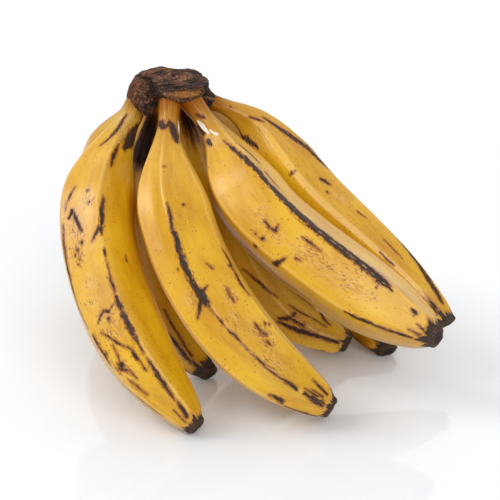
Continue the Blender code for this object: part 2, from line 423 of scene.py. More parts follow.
FINE_GRID = (352, 224)  # rows along and columns round the four outer fruits
COARSE_GRID = (270, 168)
FINE_FRUITS = ("plantain_front_left", "plantain_front_middle", "plantain_front_right", "plantain_back_right")
OUTSIDE = -9.0  # depth given to points far from every mark
STREAK_SUNK = 0.16  # mm that dried skin and torn skin lie lower
TEAR_SUNK = 0.35
GAP_SHADE_REACH = 13.0  # mm between two fruits at which the painted shade between them fades out
GAP_SHADE_STEP = 4  # every fourth row and column is measured
TOUCH_SHARE = 0.98  # of the radius at which another fruit counts as touching
TINY = 1e-6  # keeps a power or a division off nought

# ---------------------------------------------------------------- numbers and noise


def smooth_step(share):
    """0 below nought, 1 above one and an even S between."""
    share = np.clip(share, 0.0, 1.0)
    return share * share * (3.0 - 2.0 * share)


def lattice_value(x, y, z, seed):
    """A fixed pseudo-random number from 0 to 1 for every whole-number lattice point."""
    mixed = (x * 374761393 + y * 668265263 + z * 1440662683 + seed * 1274126177) & 0xFFFFFFFF
    mixed = ((mixed ^ (mixed >> 13)) * 1274126177) & 0xFFFFFFFF
    return ((mixed ^ (mixed >> 16)) & 0xFFFF) / 65535.0


def smooth_noise(points, size, seed):
    """Noise from -1 to 1 with lumps of about this size: lattice values blended by smooth steps."""
    scaled = points / size
    cell = np.floor(scaled).astype(np.int64)
    share = smooth_step(scaled - cell)
    total = np.zeros(points.shape[:-1])
    for corner in itertools.product((0, 1), repeat=3):
        weight = np.prod(np.where(np.array(corner), share, 1.0 - share), axis=-1)
        x, y, z = np.moveaxis(cell + np.array(corner), -1, 0)
        total += weight * lattice_value(x, y, z, seed)
    return 2.0 * total - 1.0


def layered_noise(points, size, seed, layers=4):
    """Layers of smooth noise, each half as large and half as strong as the one before."""
    return sum(smooth_noise(points, size * 0.5**i, seed + i) * 0.5**i for i in range(layers))


def natural_spline(points, shares):
    """A natural cubic spline through the points, read at shares of its own length, and that length."""
    points = np.asarray(points, dtype=float)
    knots = np.concatenate([[0.0], np.cumsum(np.linalg.norm(np.diff(points, axis=0), axis=1))])
    step = np.diff(knots)
    count = len(points)
    matrix = np.eye(count)
    right = np.zeros((count, 3))
    for i in range(1, count - 1):
        matrix[i, i - 1 : i + 2] = step[i - 1], 2.0 * (step[i - 1] + step[i]), step[i]
        right[i] = 6.0 * ((points[i + 1] - points[i]) / step[i] - (points[i] - points[i - 1]) / step[i - 1])
    bend = np.linalg.solve(matrix, right)

    def position(knot):
        i = np.clip(np.searchsorted(knots, knot, side="right") - 1, 0, count - 2)
        before = ((knots[i + 1] - knot) / step[i])[:, None]
        after = ((knot - knots[i]) / step[i])[:, None]
        cubic = (before**3 - before) * bend[i] + (after**3 - after) * bend[i + 1]
        return before * points[i] + after * points[i + 1] + cubic * (step[i] ** 2 / 6.0)[:, None]

    fine = np.linspace(0.0, knots[-1], SPLINE_SAMPLES)
    run = np.concatenate([[0.0], np.cumsum(np.linalg.norm(np.diff(position(fine), axis=0), axis=1))])
    return position(np.interp(np.asarray(shares) * run[-1], run, fine)), run[-1]


# ---------------------------------------------------------------- meshes


def closed_mesh(name, rings, values):
    """A closed skin over rings of points, rows by columns, with a fan over each end.

    values holds one number, or one vector, for every point of the rings, and becomes the mesh's attributes.
    The map called OFBake has the columns across it and the rows up it.
    """
    rows, columns = rings.shape[:2]
    index = np.arange(rows * columns).reshape(rows, columns)
    following = np.roll(index, -1, axis=1)
    quads = np.stack([index[:-1], following[:-1], following[1:], index[1:]], axis=-1).reshape(-1, 4)
    first_end = np.full(columns, rows * columns)
    fans = np.vstack([
        np.stack([following[0], index[0], first_end], axis=-1),
        np.stack([index[-1], following[-1], first_end + 1], axis=-1),
    ])
    points = np.vstack([rings.reshape(-1, 3), rings[[0, -1]].mean(axis=1)])

    across = np.arange(columns) / columns
    next_across = across + 1.0 / columns
    between = across + 0.5 / columns
    up = np.arange(rows) / (rows - 1.0)
    quad_across = np.stack([across, next_across, next_across, across], axis=-1)
    quad_up = np.stack([up[:-1], up[:-1], up[1:], up[1:]], axis=-1)
    quad_map = np.stack(np.broadcast_arrays(quad_across[None], quad_up[:, None]), axis=-1).reshape(-1, 4, 2)
    bottom = np.zeros(columns)
    top = np.ones(columns)
    fan_map = np.vstack([
        np.stack([next_across, bottom, across, bottom, between, bottom], axis=-1),
        np.stack([across, top, next_across, top, between, top], axis=-1),
    ]).reshape(-1, 3, 2)

    corners = points[quads]
    outward = np.einsum("ij,ij->", corners[:, 0], np.cross(corners[:, 1], corners[:, 2]))
    outward += np.einsum("ij,ij->", corners[:, 0], np.cross(corners[:, 2], corners[:, 3]))
    if outward < 0.0:
        quads, quad_map, fans, fan_map = (faces[:, ::-1] for faces in (quads, quad_map, fans, fan_map))

    mesh = bpy.data.meshes.new(name)
    mesh.vertices.add(len(points))
    mesh.vertices.foreach_set("co", (points * MM).astype(np.float32).ravel())
    loops = np.concatenate([quads.ravel(), fans.ravel()])
    mesh.loops.add(len(loops))
    mesh.loops.foreach_set("vertex_index", loops.astype(np.int32))
    starts = np.concatenate([np.arange(len(quads)) * 4, len(quads) * 4 + np.arange(len(fans)) * 3])
    mesh.polygons.add(len(starts))
    mesh.polygons.foreach_set("loop_start", starts.astype(np.int32))
    mesh.update(calc_edges=True)
    mesh.validate()
    mesh.shade_smooth()
    bake_map = mesh.uv_layers.new(name="OFBake")
    flat = np.concatenate([quad_map.reshape(-1, 2), fan_map.reshape(-1, 2)])
    bake_map.uv.foreach_set("vector", flat.astype(np.float32).ravel())
    for label, value in values.items():
        ends = value[[0, -1]].mean(axis=1)
        all_points = np.concatenate([value.ravel(), ends.ravel()]).astype(np.float32)
        kind, field = ("FLOAT_VECTOR", "vector") if value.ndim == 3 else ("FLOAT", "value")
        mesh.attributes.new(label, kind, "POINT").data.foreach_set(field, all_points)
    return mesh


def add_piece(name, mesh, material, node):
    """Puts a finished mesh in the scene as the piece that stands for one node of the frame."""
    piece = bpy.data.objects.new(name, mesh)
    bpy.context.scene.collection.objects.link(piece)
    mesh.materials.append(material)
    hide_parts(node)
    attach(piece, "root")
    return piece


# ---------------------------------------------------------------- the fruits


def profile(share, fruit):
    """Radius along the fruit as a share of its thickest radius: a narrow neck, a swell and a long taper."""
    swell = fruit["neck"] + (1.0 - fruit["neck"]) * smooth_step((share - NECK_END) / (SHOULDER - NECK_END))
    start, power = fruit["taper"]
    taper = np.clip((share - start) / (1.0 - start), 0.0, 1.0) ** power
    return swell * (1.0 - (1.0 - fruit["tip"]) * taper)


def section(angle, power):
    """A rounded regular polygon: the faces' distances along the angle, blended by a power sum."""
    total = np.zeros(np.broadcast(angle, power).shape)
    for side in range(SIDES):
        reach = np.cos(angle - 2.0 * math.pi * side / SIDES)
        total = total + np.maximum(reach, TINY) ** power
    return total ** (-1.0 / power)


def wrapped(degrees):
    """The same turn between -180 and 180 degrees."""
    return (degrees + 180.0) % 360.0 - 180.0


def mark_depth(along, degrees, reach, lines):
    """How deep each point lies inside the marks, in mm, below nought outside them, and the marks' half width.

    On the unrolled peel it is half the width of a line, read at the line's nearest point, less the distance
    to there.
    """
    depth = np.full(np.broadcast(along, degrees, reach).shape, OUTSIDE)
    width = np.zeros(depth.shape)
    for line in lines:
        stops = line if len(line) > 1 else line * 2
        for (along_0, degrees_0, half_0), (along_1, degrees_1, half_1) in zip(stops, stops[1:]):
            across = np.radians(wrapped(degrees - degrees_0)) * reach
            up = along - along_0
            run_across = math.radians(wrapped(degrees_1 - degrees_0)) * reach
            run_up = along_1 - along_0
            share = (across * run_across + up * run_up) / np.maximum(run_across**2 + run_up**2, TINY)
            share = np.clip(share, 0.0, 1.0)
            half = half_0 + (half_1 - half_0) * share
            inside = half - np.hypot(across - share * run_across, up - share * run_up)
            width = np.where(inside > depth, half, width)
            depth = np.maximum(depth, inside)
    return depth, width


def gap_shade(rings, name):
    """Painted shade between the fruits: 1 where another fruit all but touches this one, falling to 0 where
    it is too far off to shade it.

    It is worked out on some of the rows and columns, from the distance to the other fruits' centrelines less
    their radius, and blended between them.
    """
    shares = np.linspace(0.0, 1.0, 50)
    coarse = rings[::GAP_SHADE_STEP, ::GAP_SHADE_STEP]
    gap = np.full(coarse.shape[:2], np.inf)
    for other, fruit in FRUITS.items():
        if other == name:
            continue
        centre, _ = natural_spline(fruit["route"], shares)
        radius = TOUCH_SHARE * fruit["radius"] * profile(shares, fruit)
        for point, size in zip(centre, radius):
            gap = np.minimum(gap, np.linalg.norm(coarse - point, axis=-1) - size)
    near = smooth_step((GAP_SHADE_REACH - gap) / GAP_SHADE_REACH)
    rows, columns = rings.shape[:2]
    row = np.minimum(np.arange(rows) / GAP_SHADE_STEP, near.shape[0] - 1.0)
    low = np.minimum(row.astype(int), near.shape[0] - 2)
    share = (row - low)[:, None]
    near = near[low] * (1.0 - share) + near[low + 1] * share
    column = np.arange(columns) / GAP_SHADE_STEP
    low = column.astype(int) % near.shape[1]
    share = (column - column.astype(int))[None, :]
    return near[:, low] * (1.0 - share) + near[:, (low + 1) % near.shape[1]] * share


def chance_marks(fruit, length, seed):
    """Streaks, spots and rubbed places for the sides that no mark is listed for, drawn from a fixed seed.

    Broken streaks follow the ridges. Short scars, round spots and rubbed places lie anywhere between them.
    """
    rng = np.random.default_rng(seed)
    low, high = fruit["hidden"]
    inside = [ridge for ridge in fruit["ridges"] if low <= ridge <= high]
    streaks = []
    for ridge in inside:
        start = rng.uniform(0.12, 0.3) * length
        while start < 0.85 * length:
            run = rng.uniform(10.0, 55.0)
            half = rng.uniform(0.5, 1.7)
            sway = rng.uniform(-3.0, 3.0, 4)
            streaks.append((
                (start, ridge + sway[0], 0.2),
                (start + 0.3 * run, ridge + sway[1], half),
                (start + 0.7 * run, ridge + sway[2], half * 0.8),
                (start + run, ridge + sway[3], 0.2),
            ))
            start += run + rng.uniform(8.0, 45.0)
    for _ in range(int((high - low) / 22.0)):
        place = rng.uniform(0.2, 0.9) * length
        turn = rng.uniform(low, high)
        if rng.random() < 0.4:
            lean = rng.uniform(-16.0, 16.0)
            streaks.append(((place, turn, 0.3), (place + 5.0, turn + lean, rng.uniform(0.5, 1.3)),
                            (place + 11.0, turn + 1.4 * lean, 0.2)))
        else:
            streaks.append(((place, turn, rng.uniform(0.4, 1.5)),))
    scuffs = [(rng.uniform(0.3, 0.8) * length, rng.uniform(low, high), rng.uniform(4.0, 11.0))
              for _ in range(int((high - low) / 50.0))]
    return tuple(streaks), tuple(scuffs)


def fruit_spine(fruit, rows):
    """The rows of one fruit, from its root in the crown, along its centreline and over its corky end.

    It gives their centres, directions and radii, their shares of the length, how many mm along they count as,
    their shares of the way over the corky end, and the length.
    """
    share = np.linspace(0.0, 1.0, rows)
    centre, length = natural_spline(fruit["route"], share)
    ahead = np.gradient(centre, axis=0)
    ahead /= np.linalg.norm(ahead, axis=1)[:, None]
    radius = fruit["radius"] * profile(share, fruit)
    radius *= 1.0 + fruit["flare"] * np.exp(-((share * length / FLARE_LENGTH) ** 2))

    root = np.linspace(ROOT, 0.0, ROOT_ROWS + 1)[:-1]
    way = np.linspace(0.0, 1.0, CAP_ROWS + 1)[1:]
    past = np.interp(way, CAP[:, 0], CAP[:, 1])
    narrowing = np.interp(way, CAP[:, 0], CAP[:, 2])
    centre = np.vstack([centre[0] - ahead[0] * root[:, None], centre, centre[-1] + ahead[-1] * past[:, None]])
    ahead = np.pad(ahead, ((ROOT_ROWS, CAP_ROWS), (0, 0)), mode="edge")
    radius = np.concatenate([radius[0] * (1.0 + ROOT_WIDENING * root), radius, radius[-1] * narrowing])
    along = np.concatenate([-root, share * length, length + CAP_ALONG * way])
    share = np.pad(share, (ROOT_ROWS, CAP_ROWS), mode="edge")
    on_cap = np.concatenate([np.zeros(ROOT_ROWS + rows), way])
    return centre, ahead, radius, share, along[:, None], on_cap[:, None], length


def bend_axes(centre, ahead):
    """Two axes for each row, square to the way ahead: to the outside of the fruit's bend and to its side."""
    neck_end = centre[ROOT_ROWS]
    chord = centre[-1] - neck_end
    middle = centre[(ROOT_ROWS + len(centre) - CAP_ROWS) // 2] - neck_end
    outward = middle - chord * (middle @ chord) / (chord @ chord)
    plane = np.cross(chord, outward)
    plane /= np.linalg.norm(plane)
    out = np.cross(plane, ahead)
    out /= np.linalg.norm(out, axis=1)[:, None]
    return out, np.cross(ahead, out)


def mark_values(name, length, along, degrees, reach, seed):
    """How deep each point of one fruit lies in streaks, tears and cracks, how rubbed it is, and how bruised
    or painted with shade deep between the fruits.

    A rubbed place fades from its middle as a bell curve, half as long again along the fruit as it is wide. A
    bruised band, partly painted shade, fades over 16 mm towards the neck, 50 mm towards the tip and 60
    degrees round.
    """
    own_streaks, own_scuffs = chance_marks(FRUITS[name], length, seed)
    streak, streak_width = mark_depth(along, degrees, reach, STREAKS[name] + own_streaks)
    scuff = np.zeros(streak.shape)
    for place_along, place_degrees, size in SCUFFS[name] + own_scuffs:
        across = np.radians(wrapped(degrees - place_degrees)) * reach
        off = (across / size) ** 2 + ((along - place_along) / (1.5 * size)) ** 2
        scuff = np.maximum(scuff, np.exp(-1.5 * off))
    bruise_and_shade = np.zeros(streak.shape)
    for start, end, middle, half in BRUISES_AND_SHADE.get(name, ()):
        lengthwise = smooth_step((along - start + 10.0) / 16.0) * smooth_step((end + 25.0 - along) / 50.0)
        aside = np.abs(wrapped(degrees - middle))
        bruise_and_shade = np.maximum(bruise_and_shade, lengthwise * smooth_step((half + 30.0 - aside) / 60.0))
    return {
        "streak": streak,
        "streak_width": streak_width,
        "scuff": scuff,
        "bruise_and_shade": bruise_and_shade,
        "tear": mark_depth(along, degrees, reach, TEARS.get(name, ()))[0],
        "crack": mark_depth(along, degrees, reach, CRACKS.get(name, ()))[0],
    }


def fruit_surface(name, seed):
    """Rings of points over one fruit and the values that its peel is coloured by.

    Each ring is the ridged section, as large as the profile at its share of the length, set square to the
    centreline. Raised cords follow the ridges. The last rings turn over the corky end into its hollow scar.
    """
    fruit = FRUITS[name]
    rows, columns = FINE_GRID if name in FINE_FRUITS else COARSE_GRID
    centre, ahead, radius, share, along, on_cap, length = fruit_spine(fruit, rows)
    out, side = bend_axes(centre, ahead)

    # The fruit's own ridges, which aren't quite even, against the regular section's.
    degrees = (np.arange(columns) * 360.0 / columns - 180.0)[None, :]
    own = np.array(fruit["ridges"], dtype=float)
    regular = np.array(REGULAR_RIDGES)
    even = np.interp(
        degrees,
        np.concatenate([[own[-1] - 360.0], own, [own[0] + 360.0]]),
        np.concatenate([[regular[-1] - 360.0], regular, [regular[0] + 360.0]]),
    )
    ridged = smooth_step((share - RIDGED_FROM) / RIDGED_RISE) * smooth_step((1.0 - share) / RIDGED_FADE)
    power = (ROUND_SECTION + (RIDGED_SECTION - ROUND_SECTION) * ridged)[:, None]
    reach = section(np.radians(even), power) * radius[:, None]
    face = 360.0 / SIDES
    from_ridge = np.abs(even % face - 0.5 * face)
    cord = np.exp(-((np.radians(from_ridge) * reach / CREST_WIDTH) ** 4)) * ridged[:, None]

    # The straightened fruit, in mm: a round bar, so that patterns can follow the length without a seam.
    bar = STRAIGHT_RADIUS * fruit["radius"]
    turn = np.radians(degrees)
    straight = np.stack(np.broadcast_arrays(bar * np.cos(turn), bar * np.sin(turn), along), axis=-1)

    values = mark_values(name, length, along, degrees, reach, seed)
    spikes = SPIKE_LENGTH * np.exp(-((from_ridge / SPIKE_WIDTH) ** 2))
    grain = straight + seed * 17.0
    lumps = SWELL_HEIGHT * smooth_noise(grain, SWELL_SIZE, seed) + 0.10 * smooth_noise(grain, 6.0, seed + 5)
    cork = smooth_step((along - length + 5.0) / 5.0)
    lobes = CAP_LOBES * np.cos(5.0 * turn + seed) * radius[:, None] * cork
    rough = CAP_LUMPS * layered_noise(grain * np.array([1.0, 1.0, 1.6]), 4.2, seed + 9, 3) * cork
    sunk = STREAK_SUNK * smooth_step(values["streak"] / 0.8 + 0.3) * (1.0 - cork)
    sunk += TEAR_SUNK * smooth_step(values["tear"] / 0.8)
    raised = CREST_HEIGHT * cord + lumps * (1.0 - cork) + (lobes + rough) * (1.0 - on_cap)
    reach = np.maximum(reach - SHRINK + raised - sunk, 0.02 * radius[:, None] + 0.05)
    turned = turn + math.radians(fruit["turn"])
    rings = centre[:, None, :] + reach[..., None] * (
        np.cos(turned)[..., None] * out[:, None, :] + np.sin(turned)[..., None] * side[:, None, :]
    )
    scar = SCAR_ROUGHNESS * layered_noise(rings, 2.6, seed + 21, 3) * smooth_step(on_cap / 0.4)
    slant = SLANT * reach * (1.0 - np.sin(turn)) * smooth_step((along - length + 9.0) / 11.0)
    rings = rings + (scar - slant)[..., None] * ahead[:, None, :]
    rings = np.clip(rings, np.array(cad_box[0]) / MM, np.array(cad_box[1]) / MM)

    shape = rings.shape[:2]
    values |= {
        "straight": straight,
        "gap_shade": gap_shade(rings, name),
        "ridge": np.broadcast_to(cord, shape),
        "tip_black": np.broadcast_to(TIP_BLACK[name] + spikes - (length - along), shape),
        "cork": np.broadcast_to(smooth_step(on_cap / 0.22), shape),
        "hollow": np.broadcast_to(smooth_step((on_cap - 0.56) / 0.14), shape),
        "from_crown": np.broadcast_to(along, shape),
        "green": np.full(shape, fruit["green"]),
    }
    return rings, values


# ---------------------------------------------------------------- the crown

CROWN_CENTRE = np.array([-61.0, 61.0, 175.5])
CROWN_GRID = (250, 380)
CROWN_TOP = 184.3
CROWN_BOUND = 48.0  # mm from the centre, past all of the crown

# Its lumps and hollows, each a flattened ball with a middle and half sizes. A power over two squares off the
# pad's edge.
PAD = ((-61.0, 61.0, 177.4), (27.0, 22.5, 6.8))
PAD_POWER = 2.6
CORE = ((-61.0, 66.0, 170.0), (21.0, 14.0, 7.5))
SHOULDER_LUMP = ((-41.5, 61.0, 173.5), (7.0, 9.0, 6.0))
KNOB = ((-47.5, 76.0, 178.8), (7.5, 6.5, 4.8))
BOWL = ((-61.0, 61.0, 186.5), (19.0, 15.0, 5.6))
HOLE = ((-76.5, 57.0, 183.5), (3.4, 2.6, 5.0))

# Its rolls, each a route and the radii along it.
TORN_ROLL = (
    ((-81.0, 51.0, 177.0), (-80.5, 44.5, 171.0), (-76.0, 39.5, 166.5), (-72.5, 37.0, 163.0)),
    (7.0, 7.0, 5.5, 2.8),
)
REAR_RIM = (
    ((-79.0, 71.0, 180.5), (-68.0, 79.0, 181.2), (-61.0, 79.0, 179.5)),
    (2.6, 2.8, 1.5),
)
CREASE = (
    ((-76.5, 55.0, 184.0), (-72.0, 42.0, 180.5), (-69.5, 36.0, 174.0), (-69.0, 37.0, 166.0)),
    (1.2, 1.3, 1.2, 0.8),
)
LEDGE_RADII = (2.2, 3.1, 3.8, 4.3, 4.5, 4.5, 4.3, 3.9, 3.4, 2.8)
LEDGE_ARC = (-106.0, -22.0)  # degrees round the crown, from its front to its right

# Its painted shade in the hole and the crease reaches a little past what is carved out.
HOLE_SHADE = (3.8, 3.0, 5.5)
CREASE_SHADE = (1.6, 1.5, 1.3, 0.8)


def smooth_union(a, b, width):
    """The lower of two distances, rounded over where they are about the same."""
    share = np.clip(0.5 + 0.5 * (b - a) / width, 0.0, 1.0)
    return b + (a - b) * share - width * share * (1.0 - share)


def ellipsoid_distance(points, centre, half, power=2.0):
    """About the distance to an ellipsoid; a power over two squares it off."""
    flat = np.abs(points - np.array(centre)) / np.array(half)
    round_share = np.hypot(flat[..., 0], flat[..., 1])
    return ((round_share**power + flat[..., 2] ** power) ** (1.0 / power) - 1.0) * min(half)


def tube_distance(points, route, radii):
    """Distance to a tube round a line of straight stretches, its radius changing evenly along each."""
    route = np.asarray(route, dtype=float)
    nearest = np.full(points.shape[:-1], 1e9)
    for start, end, radius_0, radius_1 in zip(route, route[1:], radii, radii[1:]):
        run = end - start
        share = np.clip((points - start) @ run / (run @ run), 0.0, 1.0)
        distance = np.linalg.norm(points - start - share[..., None] * run, axis=-1)
        nearest = np.minimum(nearest, distance - (radius_0 + (radius_1 - radius_0) * share))
    return nearest


def ledge_route():
    """The roll of dried cork round the front of the crown, that overhangs the middle necks: a sagging arc."""
    turn = np.radians(np.linspace(*LEDGE_ARC, len(LEDGE_RADII)))
    return np.stack([
        CROWN_CENTRE[0] + 1.5 + 22.5 * np.cos(turn),
        CROWN_CENTRE[1] + 21.5 * np.sin(turn),
        175.0 + 4.6 * ((np.degrees(turn) + 52.0) / 60.0) ** 2,
    ], axis=-1)


def sleeve_distance(points, fruit):
    """Distance to the crown's cork where it runs down one neck: a tube that thins out along it."""
    shares = np.linspace(0.0, fruit["sleeve"] / 250.0, 4)
    centre, _ = natural_spline(fruit["route"], shares)
    back = (centre[0] - centre[1]) / np.linalg.norm(centre[1] - centre[0])
    radii = fruit["radius"] * profile(shares, fruit) + np.linspace(1.2, -0.8, 4)
    return tube_distance(points, np.vstack([centre[0] + back * 7.0, centre]), [radii[0], *radii])


def crown_distance(points):
    """Distance to the crown before its roughness: a flattened pad, a core between the necks, a short sleeve
    down some necks, a rolled ledge in front and a torn roll that hangs down over the front left neck."""
    body = ellipsoid_distance(points, *PAD, PAD_POWER)
    body = smooth_union(body, ellipsoid_distance(points, *CORE), 3.0)
    for fruit in FRUITS.values():
        if fruit["sleeve"] > 0:
            body = smooth_union(body, sleeve_distance(points, fruit), 3.0)
    body = smooth_union(body, tube_distance(points, ledge_route(), LEDGE_RADII), 1.6)
    body = smooth_union(body, tube_distance(points, *TORN_ROLL), 3.0)
    body = smooth_union(body, ellipsoid_distance(points, *SHOULDER_LUMP), 3.0)
    body = smooth_union(body, ellipsoid_distance(points, *KNOB), 2.5)
    body = smooth_union(body, tube_distance(points, *REAR_RIM), 3.0)
    # The top falls to the right, and its cut face is dished.
    slope = points[..., 2] - (183.6 - 0.19 * np.maximum(points[..., 0] - CROWN_CENTRE[0], 0.0))
    dish = smooth_union(-slope, ellipsoid_distance(points, *BOWL), 2.0)
    holes = smooth_union(ellipsoid_distance(points, *HOLE), tube_distance(points, *CREASE), 1.0)
    return np.maximum(body, -smooth_union(dish, holes, 1.0))


def crown_surface():
    """Rings of points over the crown, found along rays from its middle, and the values it is coloured by.

    Along each ray the surface is where the distance is nought, found by halving the stretch that holds it.
    """
    rows, columns = CROWN_GRID
    lift = np.radians(np.linspace(-89.2, 89.2, rows))[:, None]
    turn = (np.arange(columns) * 2.0 * math.pi / columns)[None, :]
    flat = np.cos(lift)
    rays = np.stack(np.broadcast_arrays(flat * np.cos(turn), flat * np.sin(turn), np.sin(lift)), axis=-1)
    inner = np.zeros(rays.shape[:2])
    outer = np.full(rays.shape[:2], CROWN_BOUND)
    for _ in range(22):
        half = 0.5 * (inner + outer)
        outside = crown_distance(CROWN_CENTRE + rays * half[..., None]) > 0.0
        outer = np.where(outside, half, outer)
        inner = np.where(outside, inner, half)
    rings = CROWN_CENTRE + rays * (0.5 * (inner + outer))[..., None]

    # Fibres: rings round the cut face's middle on top, strands that run down the sides, and along the ledge.
    right = rings[..., 0] - CROWN_CENTRE[0]
    cut_x = rings[..., 0] + 64.0
    cut_y = rings[..., 1] - 65.0
    top = smooth_step((rings[..., 2] - 178.5 + 0.12 * right) / 3.0)
    around = np.arctan2(cut_y, cut_x)
    bend = 2.4 * smooth_noise(rings, 9.0, 31)
    swirl = np.hypot(cut_x, cut_y * 1.5) + bend - 2.0 * np.cos(around)
    level = np.zeros(swirl.shape)
    circles = smooth_noise(np.stack([swirl, level, around * 2.5], axis=-1), 1.3, 33)
    left = smooth_step((-67.0 - rings[..., 0]) / 6.0)
    strands = smooth_noise(rings * np.array([1.0, 1.0, 0.22]) + bend[..., None], 1.7, 35)
    bands = smooth_noise(np.stack([rings[..., 2] + bend, level, around * 4.0], axis=-1), 1.6, 37)
    fibre = top * circles + (1.0 - top) * (left * strands + (1.0 - left) * bands)
    cork = layered_noise(rings, 7.0, 41, 4)
    pits = np.minimum(smooth_noise(rings, 2.8, 47) + 0.45, 0.0)
    ledge = -tube_distance(rings, ledge_route(), LEDGE_RADII)
    calm = 1.0 - 0.75 * smooth_step((ledge + 1.5) / 1.5)
    low = smooth_step((172.0 - rings[..., 2]) / 6.0)
    rough = (0.75 * cork + 1.2 * pits) * calm + 0.55 * fibre - 0.5 - 0.35 * low
    rings = rings + rays * rough[..., None]
    rings[..., 2] = np.minimum(rings[..., 2], CROWN_TOP)

    # Painted shade in the pits, the hole, the crease and the line along the ledge, where shade falls; the
    # right of the top is darker too.
    x, y, height = np.moveaxis(rings, -1, 0)
    hollow = ellipsoid_distance(rings, HOLE[0], HOLE_SHADE)
    crevice = tube_distance(rings, CREASE[0], CREASE_SHADE)
    right_side = 0.2 * smooth_step((x + 52.0) / 8.0) * smooth_step((height - 170.0) / 5.0)
    edge = 0.45 * np.exp(-(((ledge + 2.1 + 0.7 * cork) / 0.9) ** 2))
    shade_and_dark = np.maximum(-pits, edge + right_side * calm)
    shade_and_dark = np.maximum(shade_and_dark, smooth_step(1.0 - np.minimum(hollow, crevice) / 1.2))

    # Where it is worn: the ledge's upper face, most of all in front.
    from_front = np.degrees(np.arctan2(y - CROWN_CENTRE[1], x - CROWN_CENTRE[0])) + 60.0
    worn = ledge + 1.3 - 2.4 * (from_front / 34.0) ** 2 - 3.4 * smooth_step((176.4 - height) / 2.4)
    worn += 0.9 * fibre - 1.4 * smooth_step((height - 179.2 + 0.06 * (x - CROWN_CENTRE[0])) / 1.5)
    bark = smooth_step((x + 85.0) / 7.0) * smooth_step((-62.0 - x) / 6.0) * (1.0 - top)
    values = {
        "fibre": fibre,
        "height": height,
        "worn": worn,
        "bark": 0.22 + 0.78 * bark,
        "shade_and_dark": shade_and_dark,
        "cork_lump": cork,
        "left_side": left,
    }
    return rings, values


# ---------------------------------------------------------------- materials

# How a value rises from where it starts to where it is full.
EVENLY = "LINEAR"
SOFTLY = "SMOOTHSTEP"


def linear(hex_colour):
    """An sRGB hex colour as linear red, green, blue and alpha."""
    parts = [int(hex_colour[i : i + 2], 16) / 255.0 for i in (1, 3, 5)]
    return (*[p / 12.92 if p <= 0.04045 else ((p + 0.055) / 1.055) ** 2.4 for p in parts], 1.0)


def node(tree, kind, inputs=None, stops=None, **settings):
    """Adds a node: inputs maps a socket to a value or another node's output, stops are a ramp's colours."""
    made = tree.nodes.new(kind)
    for label, value in settings.items():
        setattr(made, label, value)
    for socket, value in (inputs or {}).items():
        if isinstance(value, bpy.types.NodeSocket):
            tree.links.new(value, made.inputs[socket])
        else:
            made.inputs[socket].default_value = value
    if stops:
        ramp = made.color_ramp.elements
        while len(ramp) < len(stops):
            ramp.new(0.5)
        for element, (position, colour) in zip(ramp, stops):
            element.position = position
            element.color = linear(colour)
    return made


def new_material(name):
    """An empty material with only its output."""
    material = bpy.data.materials.new(name)
    material.use_nodes = True
    tree = material.node_tree
    tree.nodes.clear()
    return material, tree, tree.nodes.new("ShaderNodeOutputMaterial")


def work_out(tree, value, steps):
    """Adds what the steps say to the named values: an operation, then names of values or plain numbers.

    SPAN takes a value from one range to another and stops at its ends. The others are the usual sums.
    """
    for label, (operation, *terms) in steps.items():
        terms = [value[term] if isinstance(term, str) else term for term in terms]
        if operation == "SPAN":
            span = dict(zip(("Value", "From Min", "From Max", "To Min", "To Max"), terms))
            made = node(tree, "ShaderNodeMapRange", span)
        else:
            made = node(tree, "ShaderNodeMath", dict(enumerate(terms)), operation=operation)
        value[label] = made.outputs[0]


def paint(tree, value, colour, layers):
    """Lays tints over a colour, from the bottom up, and adds how much of each one shows to the named values.

    A layer is the value that it follows, where it starts to show and where it shows most, how much it shows
    there, how it gets there, and its tint, which is a hex colour or another node's output.
    """
    for label, (follows, start, full, most, rise, tint) in layers.items():
        span = {"Value": value[follows], "From Min": start, "From Max": full, "To Max": most}
        value[label] = node(tree, "ShaderNodeMapRange", span, interpolation_type=rise).outputs[0]
        tint = linear(tint) if isinstance(tint, str) else tint
        mixed = node(tree, "ShaderNodeMix", {0: value[label], 6: colour, 7: tint}, data_type="RGBA")
        colour = mixed.outputs[2]
    return colour


